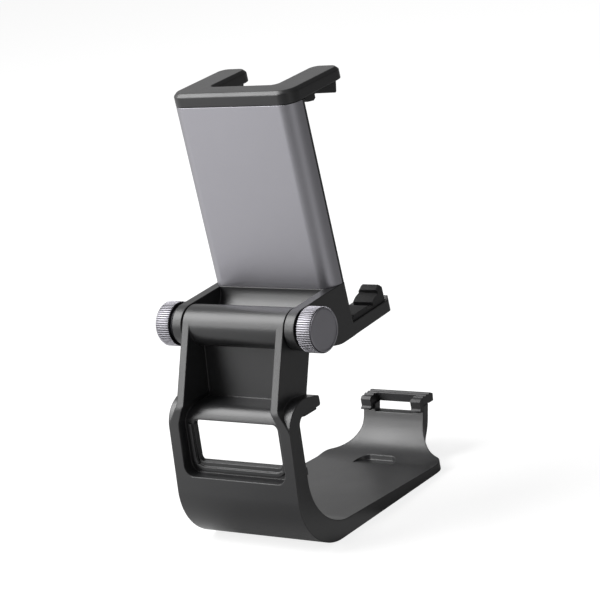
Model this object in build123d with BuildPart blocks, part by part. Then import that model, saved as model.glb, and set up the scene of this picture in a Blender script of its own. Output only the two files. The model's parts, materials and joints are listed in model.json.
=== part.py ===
from build123d import *
from math import cos, radians, sin, tan
import os

# Phone clip for a gamepad. A moulded cradle hooks round the gamepad, and a sprung phone
# holder tilts on a barrel at the top of the cradle's arm, clamped by a knob at each end.
# Origin: on the underside, in the middle of the width, back_reach in front of the back face's
# foot. X to the right seen from behind, +Y towards the player, +Z up. The holder stands at
# its rest lean. Sizes in millimetres, angles in degrees.

# Cradle band, seen from the side
cradle_width = 41.4
back_reach = 40.0               # origin to the foot of the outer back face, before rounding
front_reach = 32.3              # origin to the foot of the tongue's outer face
back_bend_radius = 15.0
back_lean = 5.5                 # outer back face leans forward
wall_foot_thickness = 5.6       # back wall where its faces reach the underside
inner_lean = 3.7
inner_bend_radius = 14.8
floor_front_thickness = 2.3     # where the tongue's bend starts
floor_slope = 2.9               # the floor thickens towards the back
shoulder_radius = 8.0
lip_reach = 17.7                # from the back bend's corner to the lip's tip
lip_top_height = 40.3
lip_thickness = 2.8
lip_slope = 12.0
lip_corner_radius = 2.6
lip_tip_radius = 0.7

# Front tongue
tongue_thickness = 2.3
tongue_lean = 17.6
tongue_bend_radius = 12.6       # inner face
tongue_width = 21.0
tongue_height = 14.6
flare_reach = 7.3               # the plate narrows to the tongue along this length
flare_radius = 16.0
flare_to_corner = 7.0           # the flare starts behind the foot of the tongue's outer face
flare_blend_radius = 3.0
tongue_notch_width = 12.8
tongue_notch_floor = 12.4       # height of the notch's lower edge

# Slot moulded in the floor, ramped towards the back
slot_length = 13.4
slot_width = 6.9
slot_floor_height = 1.3         # at the slot's front edge
slot_ramp = 11.5
slot_to_corner = 7.8            # slot's front edge behind the foot of the tongue's outer face

# Arm and barrel
hinge_height = 58.4
hinge_back = 22.0               # barrel's axis behind the origin
barrel_diameter = 11.1
arm_width = 34.4
arm_lean = 23.3
arm_swell = 0.65                # the arm's front face stands this far out of the barrel
arm_wall = 1.85
panel_foot_gap = 8.8            # from the pocket's corner forward to the panel's inner face
panel_lean = 7.5
widening_drop = 5.4             # the arm widens to the band over this height under the lip's top
widening_top_radius = 2.5
widening_foot_radius = 5.0

# Pocket in the back, with the window
web_thickness = 1.6
pocket_floor_height = 20.8
pocket_width = 34.6
pocket_corner_radius = 3.0
window_width = 27.2
window_sill = 23.9
window_head_drop = 4.6          # window's upper edge under the lip's top
window_radius = 1.6
rim_gap = 1.3                   # from the window's edge to the raised rim
rim_width = 1.1
rim_height = 0.6

# Soft pads of the cradle
lip_pad_thickness = 0.8
lip_pad_margin = 0.5
back_pad_thickness = 1.1
back_pad_height = 2.2
cap_height = 2.6
cap_overhang = 3.2
cap_wall = 1.3
cap_post_width = 3.5
cap_post_drop = 1.4
cap_bead = 0.45
cap_bar_reach = 2.2             # from the tongue's inner face out to the bar between the posts
cap_rib_start = 0.55
cap_rib_pitch = 1.5
cap_rib_height = 0.35
cap_front_fall = 0.7
cap_fit = 0.02

# Holder, in its own leaned frame with its origin on the hinge axis
holder_lean = 2.7
shell_back = 13.4
shell_depth = 4.9
shell_bottom = 5.7
shell_length = 50.8
shell_wall = 1.2
shell_corner_radius = 4.5
cover_flange = 0.8
cover_plate = 0.6
cover_fit = 0.1
phone_pad_thickness = 0.8
phone_pad_recess = 0.4
phone_pad_margin = 3.6

# Foot of the holder
ear_thickness = 3.05
cheek_bottom_lean = 16.0
foot_bottom_radius = 12.0
prong_width = 10.0
prong_radius = 2.0
lower_prong_thickness = 3.5
lower_prong_drop = 6.0          # prong's top below the hinge axis
lower_prong_length = 16.6
lower_prong_end_rise = 0.9
lower_prong_end_width = 1.6
barrel_gap = 0.35
foot_clear_angle = 30.0         # forward tilt that the foot leaves free
cove_radius = 6.0
spigot_height = 6.4
spigot_fit = 0.15
jaw_root_radius = 1.2

# Top jaw
jaw_thickness = 3.7
jaw_gap = 0.1                   # closed jaw above the shell
jaw_reach = 18.8                # prongs' tips in front of the cover
jaw_bar_overhang = 1.8          # bar between the prongs, in front of the cover
jaw_tip_radius = 3.2
jaw_tip_fall = 0.3              # prongs' top face falls towards the tips
jaw_edge_bevel = 0.9
slide_thickness = 1.5
slide_clearance = 4.5           # closed slide above the spigot
slide_web_height = 14.0         # plate above the springs' slots
slide_fit = 0.15

# Jaw pads
pad_inset = 0.5
pad_root_thickness = 1.6
top_hook_drop = 3.1
lower_hook_rise = 4.4
pad_notch_width = 0.9
pad_web = 0.6
pad_step = 0.9
top_notch_reach = 5.3           # distances from the cover's face
top_pad_reach = 15.2
lower_root_reach = 8.3
lower_hook_reach = 10.5
lower_pad_inset = 2.9

# Springs that draw the top jaw down
spring_diameter = 2.6
spring_wire = 0.35
spring_spacing = 22.0
spring_foot = 9.4               # lower pin above the hinge axis
pin_diameter = 1.4
loop_fit = 0.1
loop_sides = 8

# Hinge hardware
stud_diameter = 4.0
running_fit = 0.05
washer_diameter = 10.0
friction_washer_thickness = 0.4
pressure_washer_thickness = 0.6
insert_diameter = 6.0
insert_length = 7.5
stud_end_gap = 1.5
knob_diameter = 12.2
knob_length = 5.3
knob_ridges = 60
knob_ridge_height = 0.3
knob_rim_bevel = 0.45
knob_dish = 0.3
knob_dish_rim = 0.7
stud_seat_depth = 3.6
cover_screw_diameter = 2.0
cover_screw_head = 3.8
cover_screw_length = 3.0
cover_screw_spacing = 30.0

os.makedirs("parts", exist_ok=True)


def crossing(p, p_angle, q, q_angle):
    """Point where two lines in a plane cross, each given by a point and its angle."""
    pu, pv = cos(radians(p_angle)), sin(radians(p_angle))
    qu, qv = cos(radians(q_angle)), sin(radians(q_angle))
    t = ((q[0] - p[0]) * qv - (q[1] - p[1]) * qu) / (pu * qv - pv * qu)
    return (p[0] + t * pu, p[1] + t * pv)


def rounded(corner, radius):
    """Round the corner of the open sketch nearest to a point."""
    fillet(vertices().sort_by_distance(corner)[0], radius)


def save(piece, label):
    """Name a finished piece and write it to its own STEP file."""
    piece.part.label = label
    export_step(piece.part, f"parts/{label}.step")


# Places worked out from the sizes above
half_width = cradle_width / 2
tongue_half = tongue_width / 2
hinge = (-hinge_back, hinge_height)
barrel_radius = barrel_diameter / 2
back_corner = -back_reach
front_corner = front_reach
tongue_outer_radius = tongue_bend_radius + tongue_thickness
flat_front = front_corner - tongue_outer_radius / tan(radians((90 + tongue_lean) / 2))
lip_under_height = lip_top_height - lip_thickness
widening_foot = lip_top_height - widening_drop
window_head = lip_top_height - window_head_drop
inner_wall_foot = (back_corner + wall_foot_thickness, 0)
tongue_inner_foot = (front_corner - tongue_thickness / cos(radians(tongue_lean)), 0)
lip_tip = back_corner + lip_reach
back_angle = 90 - back_lean
inner_angle = 90 - inner_lean
tongue_angle = 90 - tongue_lean
arm_angle = 90 - arm_lean

# Side profile of the cradle's band, sharp corners first
floor_front = (flat_front, floor_front_thickness)
floor_tongue = crossing(floor_front, -floor_slope, tongue_inner_foot, tongue_angle)
floor_back = crossing(floor_front, -floor_slope, inner_wall_foot, inner_angle)
lip_inner = crossing(inner_wall_foot, inner_angle, (0, lip_under_height), 0)
shoulder = crossing((back_corner, 0), back_angle, (lip_tip, lip_top_height), 180 - lip_slope)
tongue_top_outer = crossing((front_corner, 0), tongue_angle, (0, tongue_height), 0)
tongue_top_inner = crossing(tongue_inner_foot, tongue_angle, (0, tongue_height), 0)

# Arm, seen from the side: a leaning slab, tangent to the barrel at its back
arm_across = Vector(cos(radians(arm_lean)), -sin(radians(arm_lean)))
arm_front_offset = barrel_radius + arm_swell
arm_front = (hinge[0] + arm_across.X * arm_front_offset, hinge[1] + arm_across.Y * arm_front_offset)
arm_back = (hinge[0] - arm_across.X * barrel_radius, hinge[1] - arm_across.Y * barrel_radius)
lip_middle = (lip_top_height + lip_under_height) / 2
arm_front_foot = crossing(arm_front, arm_angle, (0, lip_middle), 0)
arm_bend = crossing(arm_back, arm_angle, (back_corner, 0), back_angle)
wall_core = back_corner + wall_foot_thickness - web_thickness / 2
arm_core_foot = crossing((wall_core, 0), inner_angle, (0, pocket_floor_height), 0)
arm_core_top = crossing((wall_core, 0), inner_angle, (0, lip_middle), 0)
arm_back_foot = crossing((back_corner, 0), back_angle, (0, pocket_floor_height), 0)

# Pocket, seen from the side
web_foot = (inner_wall_foot[0] - web_thickness / cos(radians(inner_lean)), 0)
ledge_height = lip_under_height + web_thickness
pocket_bottom = crossing(web_foot, inner_angle, (0, pocket_floor_height), 0)
pocket_corner = crossing(web_foot, inner_angle, (0, ledge_height), 0)
panel_foot = (pocket_corner[0] + panel_foot_gap, ledge_height)
pocket_top = arm_back[1]
panel_top = crossing(panel_foot, 90 - panel_lean, (0, pocket_top), 0)
pocket_back = back_corner - barrel_diameter

# Cradle bracket: one moulding
with BuildPart() as arm_blank:
    with BuildSketch(Plane.YZ):
        with BuildLine():
            Polyline(
                arm_back, arm_front, arm_front_foot, arm_core_top,
                arm_core_foot, arm_back_foot, arm_bend, close=True,
            )
        make_face()
        rounded(arm_bend, shoulder_radius / 2)
    extrude(amount=half_width, both=True)
    with BuildSketch(Plane.XZ):
        with BuildLine():
            Polyline(
                (0, 0), (half_width, 0), (half_width, widening_foot), (arm_width / 2, lip_top_height),
                (arm_width / 2, hinge_height + barrel_diameter), (0, hinge_height + barrel_diameter),
                close=True,
            )
        make_face()
        rounded((half_width, widening_foot), widening_foot_radius)
        rounded((arm_width / 2, lip_top_height), widening_top_radius)
        mirror(about=Plane.YZ)
    extrude(amount=cradle_width * 2, both=True, mode=Mode.INTERSECT)

with BuildPart() as pocket:
    with BuildSketch(Plane.YZ):
        with BuildLine():
            Polyline(
                pocket_bottom, pocket_corner, panel_foot, panel_top,
                (pocket_back, pocket_top), (pocket_back, pocket_floor_height), close=True,
            )
        make_face()
        rounded(pocket_corner, lip_corner_radius + web_thickness)
    extrude(amount=half_width, both=True)
    with BuildSketch(Plane.XZ):
        inner_half = arm_width / 2 - arm_wall
        with BuildLine():
            Polyline(
                (0, pocket_floor_height), (pocket_width / 2, pocket_floor_height),
                (pocket_width / 2, widening_foot), (inner_half, lip_top_height),
                (inner_half, pocket_top), (0, pocket_top), close=True,
            )
        make_face()
        rounded((pocket_width / 2, pocket_floor_height), pocket_corner_radius)
        rounded((pocket_width / 2, widening_foot), widening_foot_radius)
        rounded((inner_half, lip_top_height), widening_top_radius)
        mirror(about=Plane.YZ)
    extrude(amount=cradle_width * 2, both=True, mode=Mode.INTERSECT)

window_middle = (window_sill + window_head) / 2
window_height = window_head - window_sill
web_point = crossing(web_foot, inner_angle, (0, window_middle), 0)
web_plane = Plane(
    (0, *web_point), x_dir=(1, 0, 0), z_dir=(0, -cos(radians(inner_lean)), sin(radians(inner_lean)))
)
rim_outer = rim_gap + rim_width

with BuildPart() as cradle_bracket:
    with BuildSketch(Plane.YZ):
        with BuildLine():
            Polyline(
                (back_corner, 0), (front_corner, 0), tongue_top_outer, tongue_top_inner,
                floor_tongue, floor_back, lip_inner, (lip_tip, lip_under_height),
                (lip_tip, lip_top_height), shoulder, close=True,
            )
        make_face()
        rounded((back_corner, 0), back_bend_radius)
        rounded((front_corner, 0), tongue_outer_radius)
        rounded(floor_tongue, tongue_bend_radius)
        rounded(floor_back, inner_bend_radius)
        rounded(lip_inner, lip_corner_radius)
        rounded(shoulder, shoulder_radius)
        rounded((lip_tip, lip_under_height), lip_tip_radius)
        rounded((lip_tip, lip_top_height), lip_tip_radius)
    extrude(amount=half_width, both=True)
    # Plan outline: the plate narrows to the tongue in two hollow flares
    flare_foot = (half_width, front_corner - flare_to_corner)
    flare_head = (tongue_half, front_corner - flare_to_corner + flare_reach)
    with BuildSketch(Plane.XY):
        with BuildLine():
            Polyline((0, 2 * back_corner), (half_width, 2 * back_corner), flare_foot)
            RadiusArc(flare_foot, flare_head, flare_radius)
            Polyline(
                flare_head, (tongue_half, 2 * front_corner), (0, 2 * front_corner),
                (0, 2 * back_corner),
            )
        make_face()
        rounded(flare_foot, flare_blend_radius)
        rounded(flare_head, flare_blend_radius)
        mirror(about=Plane.YZ)
    extrude(amount=lip_top_height + shoulder_radius, mode=Mode.INTERSECT)
    # Notch in the tongue's top edge
    with BuildSketch(Plane.XZ.offset(-front_corner)):
        with Locations((0, tongue_height)):
            Rectangle(tongue_notch_width, 2 * (tongue_height - tongue_notch_floor))
    extrude(amount=tongue_height, both=True, mode=Mode.SUBTRACT)
    add(arm_blank.part)
    add(pocket.part, mode=Mode.SUBTRACT)
    # Window, with a raised rim on its sides and sill
    with BuildSketch(web_plane):
        RectangleRounded(
            window_width + 2 * rim_outer, window_height + 2 * rim_outer, window_radius + rim_outer
        )
        RectangleRounded(
            window_width + 2 * rim_gap, window_height + 2 * rim_gap, window_radius + rim_gap,
            mode=Mode.SUBTRACT,
        )
        with Locations((0, window_height / 2 + rim_outer)):
            Rectangle(cradle_width, 3 * rim_outer, mode=Mode.SUBTRACT)
    extrude(amount=rim_height)
    with BuildSketch(web_plane):
        RectangleRounded(window_width, window_height, window_radius)
    extrude(amount=2 * web_thickness, both=True, mode=Mode.SUBTRACT)
    # Slot in the floor: full depth at its front edge, running out towards the back
    slot_plane = Plane(
        (0, front_corner - slot_to_corner, slot_floor_height),
        x_dir=(1, 0, 0), z_dir=(0, sin(radians(slot_ramp)), cos(radians(slot_ramp))),
    )
    with BuildSketch(slot_plane):
        with Locations((0, -slot_width / 2)):
            SlotOverall(slot_length, slot_width)
    extrude(amount=back_bend_radius / 2, mode=Mode.SUBTRACT)
    # Barrel across the top, bored from both ends for the threaded inserts
    with BuildSketch(Plane.YZ):
        with Locations(hinge):
            Circle(barrel_radius)
    extrude(amount=arm_width / 2, both=True)
    for side in (1, -1):
        barrel_end = Plane(
            (side * arm_width / 2, *hinge), x_dir=(0, side, 0), z_dir=(side, 0, 0)
        )
        with BuildSketch(barrel_end):
            Circle(insert_diameter / 2)
        extrude(amount=-insert_length, mode=Mode.SUBTRACT)
        with BuildSketch(barrel_end):
            Circle(stud_diameter / 2 + 2 * running_fit)
        extrude(amount=-(insert_length + stud_end_gap), mode=Mode.SUBTRACT)
save(cradle_bracket, "cradle_bracket")

# Soft pad under the lip
lip_pad_back = lip_inner[0] + lip_corner_radius
lip_pad_front = lip_tip - lip_tip_radius
with BuildPart() as lip_pad:
    with BuildSketch(Plane.XY.offset(lip_under_height - lip_pad_thickness)):
        with Locations((0, (lip_pad_back + lip_pad_front) / 2)):
            RectangleRounded(
                cradle_width - 2 * lip_pad_margin, lip_pad_front - lip_pad_back,
                2 * lip_pad_margin,
            )
    extrude(amount=lip_pad_thickness)
save(lip_pad, "lip_pad")

# Soft bar across the inner face, just under the window
bar_point = crossing(inner_wall_foot, inner_angle, (0, window_sill - back_pad_height / 2), 0)
bar_plane = Plane(
    (0, *bar_point), x_dir=(1, 0, 0), z_dir=(0, cos(radians(inner_lean)), -sin(radians(inner_lean)))
)
with BuildPart() as back_pad:
    with BuildSketch(bar_plane):
        Rectangle(cradle_width - 2 * lip_pad_margin, back_pad_height)
    extrude(amount=back_pad_thickness)
    fillet(edges().group_by(Axis.Y)[-1].filter_by(Axis.X), back_pad_thickness / 2)
save(back_pad, "back_pad")

# Soft cap on the tongue: a hooked bar with two posts inside the tongue
cap_plane = Plane(
    (0, *tongue_top_inner), x_dir=(0, 1, 0), z_dir=(1, 0, 0)
)
cap_lean = tan(radians(tongue_lean))
with BuildPart() as front_grip_cap:
    # Ribbed top and hooked front, seen from the side
    bar_front = tongue_thickness / cos(radians(tongue_lean)) + cap_overhang
    bar_top = cap_height - cap_rib_height
    hook_back = bar_front - cap_overhang + cap_wall / 2
    ribs = []
    for n in range(3):
        rib = cap_rib_start + n * cap_rib_pitch
        ribs.append((rib, bar_top))
        ribs.append((rib + cap_rib_height, cap_height))
        ribs.append((rib + cap_rib_pitch - 2 * cap_rib_height, cap_height))
        ribs.append((rib + cap_rib_pitch - cap_rib_height, bar_top))
    with BuildSketch(cap_plane):
        with BuildLine():
            Polyline(
                (-cap_wall / 2, cap_fit), (-cap_wall / 2, bar_top), *ribs[:-1],
                (bar_front, cap_height - cap_front_fall),
                (bar_front - cap_rib_height, -cap_rib_height / 2), (hook_back, -cap_rib_height / 2),
                (hook_back, cap_fit), close=True,
            )
        make_face()
    extrude(amount=tongue_width / 2 - 0.1, both=True)
    # The posts run down the inner face of the tongue and end in a bead
    post_foot = -cap_post_drop * cap_lean
    with BuildSketch(cap_plane):
        with BuildLine():
            Polyline(
                (-cap_fit, cap_fit), (post_foot - cap_fit, -cap_post_drop),
                (post_foot - cap_wall, -cap_post_drop),
                (post_foot - cap_wall - cap_bead, cap_bead - cap_post_drop),
                (-cap_wall - cap_bead, -2 * cap_bead), (-cap_wall, -cap_bead),
                (-cap_wall, cap_height - 3 * cap_rib_height), (-cap_wall / 2, bar_top),
                (0, bar_top), close=True,
            )
        make_face()
    extrude(amount=tongue_width / 2, both=True)
    # Between the posts only the bar in front of the tongue is left
    with BuildSketch(cap_plane):
        with Locations((cap_bar_reach, 0)):
            Rectangle(2 * cap_overhang, 3 * cap_height, align=(Align.MAX, Align.CENTER))
    extrude(amount=tongue_width / 2 - cap_post_width, both=True, mode=Mode.SUBTRACT)
save(front_grip_cap, "front_grip_cap")

# Holder frame: planes in the leaned frame
lean_c, lean_s = cos(radians(holder_lean)), sin(radians(holder_lean))
holder_side = Plane((0, *hinge), x_dir=(0, lean_c, lean_s), z_dir=(1, 0, 0))
holder_up = Vector(0, -lean_s, lean_c)
holder_out = Vector(0, lean_c, lean_s)
hinge_point = Vector(0, *hinge)
holder_up_axis = Axis(hinge_point, holder_up)


def section_plane(height):
    """Plane across the holder, at a height along it from the hinge axis."""
    return Plane(hinge_point + holder_up * height, x_dir=(1, 0, 0), z_dir=holder_up)


def face_plane(depth):
    """Plane parallel to the phone's back, at a depth from the hinge axis."""
    return Plane(hinge_point + holder_out * depth, x_dir=(-1, 0, 0), z_dir=holder_out)


shell_front = shell_back + shell_depth
cover_front = shell_front + cover_flange
shell_top = shell_bottom + shell_length
shell_inner_back = shell_back + shell_wall
shell_inner_half = half_width - shell_wall
jaw_bottom = shell_top + jaw_gap
jaw_top = jaw_bottom + jaw_thickness
foot_bottom = -lower_prong_drop - lower_prong_thickness
cheek_inner = half_width - ear_thickness
lower_prong_tip = cover_front + lower_prong_length
jaw_tip = cover_front + jaw_reach
ear_radius = shell_bottom
cover_inner = shell_front - cover_plate
slide_back = shell_inner_back + slide_fit
spigot_back = shell_inner_back + spigot_fit
spigot_front = cover_inner - spigot_fit / 2
spring_depth = slide_back + spring_diameter / 2 + spigot_fit
slide_bottom = shell_bottom + spigot_height + slide_clearance
slide_top = jaw_bottom
slide_slot_top = slide_top - slide_web_height
spring_slot = spring_diameter + 4 * spigot_fit
hook_radius = pin_diameter / 2 + loop_fit + spring_wire / 2
spring_head = slide_slot_top - hook_radius - 2 * spring_wire

# Aluminium shell: a channel open at the front and at both ends
with BuildPart() as aluminium_shell:
    with BuildSketch(section_plane(shell_bottom)):
        with Locations((0, (shell_back + shell_front) / 2)):
            Rectangle(cradle_width, shell_depth)
        fillet(vertices().group_by(Axis.Y)[0], shell_corner_radius)
    extrude(amount=shell_length)
    with BuildSketch(section_plane(shell_bottom)):
        with Locations((0, (shell_inner_back + cover_front) / 2)):
            Rectangle(2 * shell_inner_half, cover_front - shell_inner_back)
        fillet(vertices().group_by(Axis.Y)[0], shell_corner_radius - shell_wall)
    extrude(amount=shell_length, mode=Mode.SUBTRACT)
save(aluminium_shell, "aluminium_shell")

# Foot: two cheeks with ears, the block between them, the lower jaw and the spigot
clear_line = 90 - arm_lean - holder_lean + foot_clear_angle
clear_radius = arm_front_offset + barrel_gap
clear_point = (
    clear_radius * sin(radians(clear_line)), -clear_radius * cos(radians(clear_line))
)
foot_back_bottom = crossing(clear_point, clear_line, (0, foot_bottom), 0)
foot_back_top = crossing(clear_point, clear_line, (0, shell_bottom - cove_radius), 0)
ear_tangent = (
    -ear_radius * sin(radians(cheek_bottom_lean)), -ear_radius * cos(radians(cheek_bottom_lean))
)
cheek_bend = crossing(ear_tangent, -cheek_bottom_lean, (0, foot_bottom), 0)
prong_top = -lower_prong_drop

with BuildPart() as holder_foot:
    # Cheeks
    with BuildSketch(holder_side):
        with BuildLine():
            Polyline(
                (0, ear_radius), (cover_front, ear_radius), (cover_front, foot_bottom),
                cheek_bend, ear_tangent, (0, 0), close=True,
            )
        make_face()
        Circle(ear_radius)
        rounded(cheek_bend, foot_bottom_radius)
    extrude(amount=half_width, both=True)
    with BuildSketch(holder_side):
        with Locations((0, 0)):
            Rectangle(2 * cover_front, 4 * cover_front)
    extrude(amount=cheek_inner, both=True, mode=Mode.SUBTRACT)
    # Block between the cheeks, hollowed in a cove behind the barrel
    with BuildSketch(holder_side):
        with BuildLine():
            Line(foot_back_bottom, foot_back_top)
            Line(foot_back_top, (shell_back - cove_radius, shell_bottom - cove_radius))
            RadiusArc(
                (shell_back - cove_radius, shell_bottom - cove_radius),
                (shell_back, shell_bottom), -cove_radius,
            )
            Polyline(
                (shell_back, shell_bottom), (cover_front, shell_bottom),
                (cover_front, foot_bottom), foot_back_bottom,
            )
        make_face()
    extrude(amount=cheek_inner, both=True)
    # Two prongs of the lower jaw, with a low rise at their ends
    with BuildSketch(holder_side):
        with BuildLine():
            Polyline(
                (cover_front - shell_depth, foot_bottom), (lower_prong_tip - 0.6, foot_bottom + 0.3),
                (lower_prong_tip, foot_bottom + 1.2),
                (lower_prong_tip - 0.1, prong_top + lower_prong_end_rise - 0.3),
                (lower_prong_tip - 0.5, prong_top + lower_prong_end_rise),
                (lower_prong_tip - lower_prong_end_width, prong_top),
                (cover_front - shell_depth, prong_top), close=True,
            )
        make_face()
    extrude(amount=half_width, both=True)
    with BuildSketch(section_plane(foot_bottom)):
        with BuildLine():
            Polyline(
                (-half_width + prong_width, lower_prong_tip * 2),
                (-half_width + prong_width, cover_front),
                (half_width - prong_width, cover_front),
                (half_width - prong_width, lower_prong_tip * 2), close=True,
            )
        make_face()
        rounded((half_width - prong_width, cover_front), jaw_root_radius)
        rounded((-half_width + prong_width, cover_front), jaw_root_radius)
    extrude(amount=cover_front, mode=Mode.SUBTRACT)
    # Round the prongs' outer corners
    with BuildSketch(section_plane(foot_bottom)):
        with Locations((0, lower_prong_tip / 2)):
            Rectangle(cradle_width, lower_prong_tip)
        rounded((half_width, lower_prong_tip), prong_radius)
        rounded((-half_width, lower_prong_tip), prong_radius)
        with Locations((0, -lower_prong_tip / 2)):
            Rectangle(cradle_width, lower_prong_tip)
    extrude(amount=cover_front, both=True, mode=Mode.INTERSECT)
    # Spigot that the shell slides over, slotted for the springs
    spigot_width = 2 * (shell_inner_half - spigot_fit)
    with BuildSketch(section_plane(shell_bottom)):
        with Locations((0, spigot_back)):
            Rectangle(spigot_width, 2 * shell_depth, align=(Align.CENTER, Align.MIN))
        fillet(vertices().group_by(Axis.Y)[0], shell_corner_radius - shell_wall - spigot_fit)
        with Locations((0, spigot_front)):
            Rectangle(
                spigot_width, 2 * shell_depth, align=(Align.CENTER, Align.MIN), mode=Mode.SUBTRACT
            )
    extrude(amount=spigot_height)
    slot_foot = spring_foot - spring_diameter / 2 - 2 * spigot_fit
    for side in (1, -1):
        with BuildSketch(section_plane(slot_foot)):
            with Locations((side * spring_spacing / 2, shell_back)):
                Rectangle(spring_slot, 2 * shell_depth, align=(Align.CENTER, Align.MIN))
        extrude(amount=spigot_height, mode=Mode.SUBTRACT)
        with BuildSketch(holder_side.offset(side * spring_spacing / 2)):
            with Locations((spring_depth, spring_foot)):
                Circle(pin_diameter / 2)
        extrude(amount=spring_slot / 2, both=True)
        with BuildSketch(face_plane(spigot_front)):
            with Locations((side * cover_screw_spacing / 2, spring_foot)):
                Circle(cover_screw_diameter / 2)
        extrude(amount=spigot_back - spigot_front, mode=Mode.SUBTRACT)
        # Bore of the ear
        with BuildSketch(holder_side.offset(side * half_width)):
            Circle(stud_diameter / 2 + running_fit)
        extrude(amount=-side * ear_thickness, mode=Mode.SUBTRACT)
save(holder_foot, "holder_foot")

# Front cover: a flat tray that closes the shell, with a recess for the phone pad
shell_middle = (shell_bottom + shell_top) / 2
pad_seat = cover_front - phone_pad_recess
with BuildPart(face_plane(pad_seat)) as front_cover:
    with BuildSketch(face_plane(shell_front)):
        with Locations((0, shell_middle)):
            Rectangle(cradle_width, shell_length)
    extrude(amount=cover_flange)
    with BuildSketch(face_plane(cover_inner)):
        with Locations((0, shell_middle)):
            Rectangle(2 * (shell_inner_half - cover_fit), shell_length)
    extrude(amount=shell_front - cover_inner)
    with BuildSketch(face_plane(cover_front)):
        with Locations((0, shell_middle)):
            RectangleRounded(
                cradle_width - 2 * phone_pad_margin, shell_length - 2 * phone_pad_margin,
                phone_pad_margin,
            )
    extrude(amount=-phone_pad_recess, mode=Mode.SUBTRACT)
    with Locations((cover_screw_spacing / 2, spring_foot), (-cover_screw_spacing / 2, spring_foot)):
        CounterSinkHole(cover_screw_diameter / 2, cover_screw_head / 2)
save(front_cover, "front_cover")

with BuildPart() as phone_pad:
    with BuildSketch(face_plane(cover_front - phone_pad_recess)):
        with Locations((0, shell_middle)):
            RectangleRounded(
                cradle_width - 2 * phone_pad_margin, shell_length - 2 * phone_pad_margin,
                phone_pad_margin,
            )
    extrude(amount=phone_pad_thickness)
save(phone_pad, "phone_pad")

# Countersunk screws through the cover into the spigot
with BuildPart(face_plane(pad_seat)) as cover_screws:
    with Locations((cover_screw_spacing / 2, spring_foot), (-cover_screw_spacing / 2, spring_foot)):
        Cone(
            cover_screw_diameter / 2, cover_screw_head / 2,
            (cover_screw_head - cover_screw_diameter) / 2,
            align=(Align.CENTER, Align.CENTER, Align.MAX),
        )
        Cylinder(
            cover_screw_diameter / 2, cover_screw_length,
            align=(Align.CENTER, Align.CENTER, Align.MAX),
        )
save(cover_screws, "cover_screws")

# Top jaw: a bar over the shell with two prongs, and a slide that runs down inside it
with BuildPart() as top_jaw:
    with BuildSketch(section_plane(jaw_bottom)):
        with BuildLine():
            prong_inner = half_width - prong_width
            bar_front = cover_front + jaw_bar_overhang
            Polyline(
                (-half_width, shell_back), (half_width, shell_back), (half_width, jaw_tip),
                (prong_inner, jaw_tip), (prong_inner, bar_front), (-prong_inner, bar_front),
                (-prong_inner, jaw_tip), (-half_width, jaw_tip), close=True,
            )
        make_face()
        for side in (1, -1):
            rounded((side * half_width, shell_back), shell_corner_radius)
            rounded((side * half_width, jaw_tip), jaw_tip_radius)
            rounded((side * prong_inner, jaw_tip), jaw_tip_radius)
            rounded((side * prong_inner, bar_front), jaw_root_radius)
    extrude(amount=jaw_thickness)
    # The top face falls from the back to the prongs' tips
    with BuildSketch(holder_side):
        with BuildLine():
            Polyline(
                (shell_back, jaw_top), (jaw_tip, jaw_top - jaw_tip_fall), (jaw_tip, jaw_top),
                close=True,
            )
        make_face()
    extrude(amount=half_width, both=True, mode=Mode.SUBTRACT)
    chamfer(faces().sort_by(holder_up_axis)[-1].edges(), jaw_edge_bevel)
    # Slide plate, slotted for the two springs
    with BuildSketch(face_plane(slide_back)):
        with Locations((0, (slide_bottom + slide_top) / 2)):
            Rectangle(
                2 * (shell_inner_half - shell_corner_radius + shell_wall), slide_top - slide_bottom
            )
        for side in (1, -1):
            with Locations((side * spring_spacing / 2, slide_bottom)):
                Rectangle(
                    spring_slot, slide_slot_top - slide_bottom, align=(Align.CENTER, Align.MIN),
                    mode=Mode.SUBTRACT,
                )
    extrude(amount=slide_thickness)
    for side in (1, -1):
        with BuildSketch(holder_side.offset(side * spring_spacing / 2)):
            with Locations((spring_depth, spring_head)):
                Circle(pin_diameter / 2)
        extrude(amount=spring_slot / 2 + pin_diameter, both=True)
save(top_jaw, "top_jaw")

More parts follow.
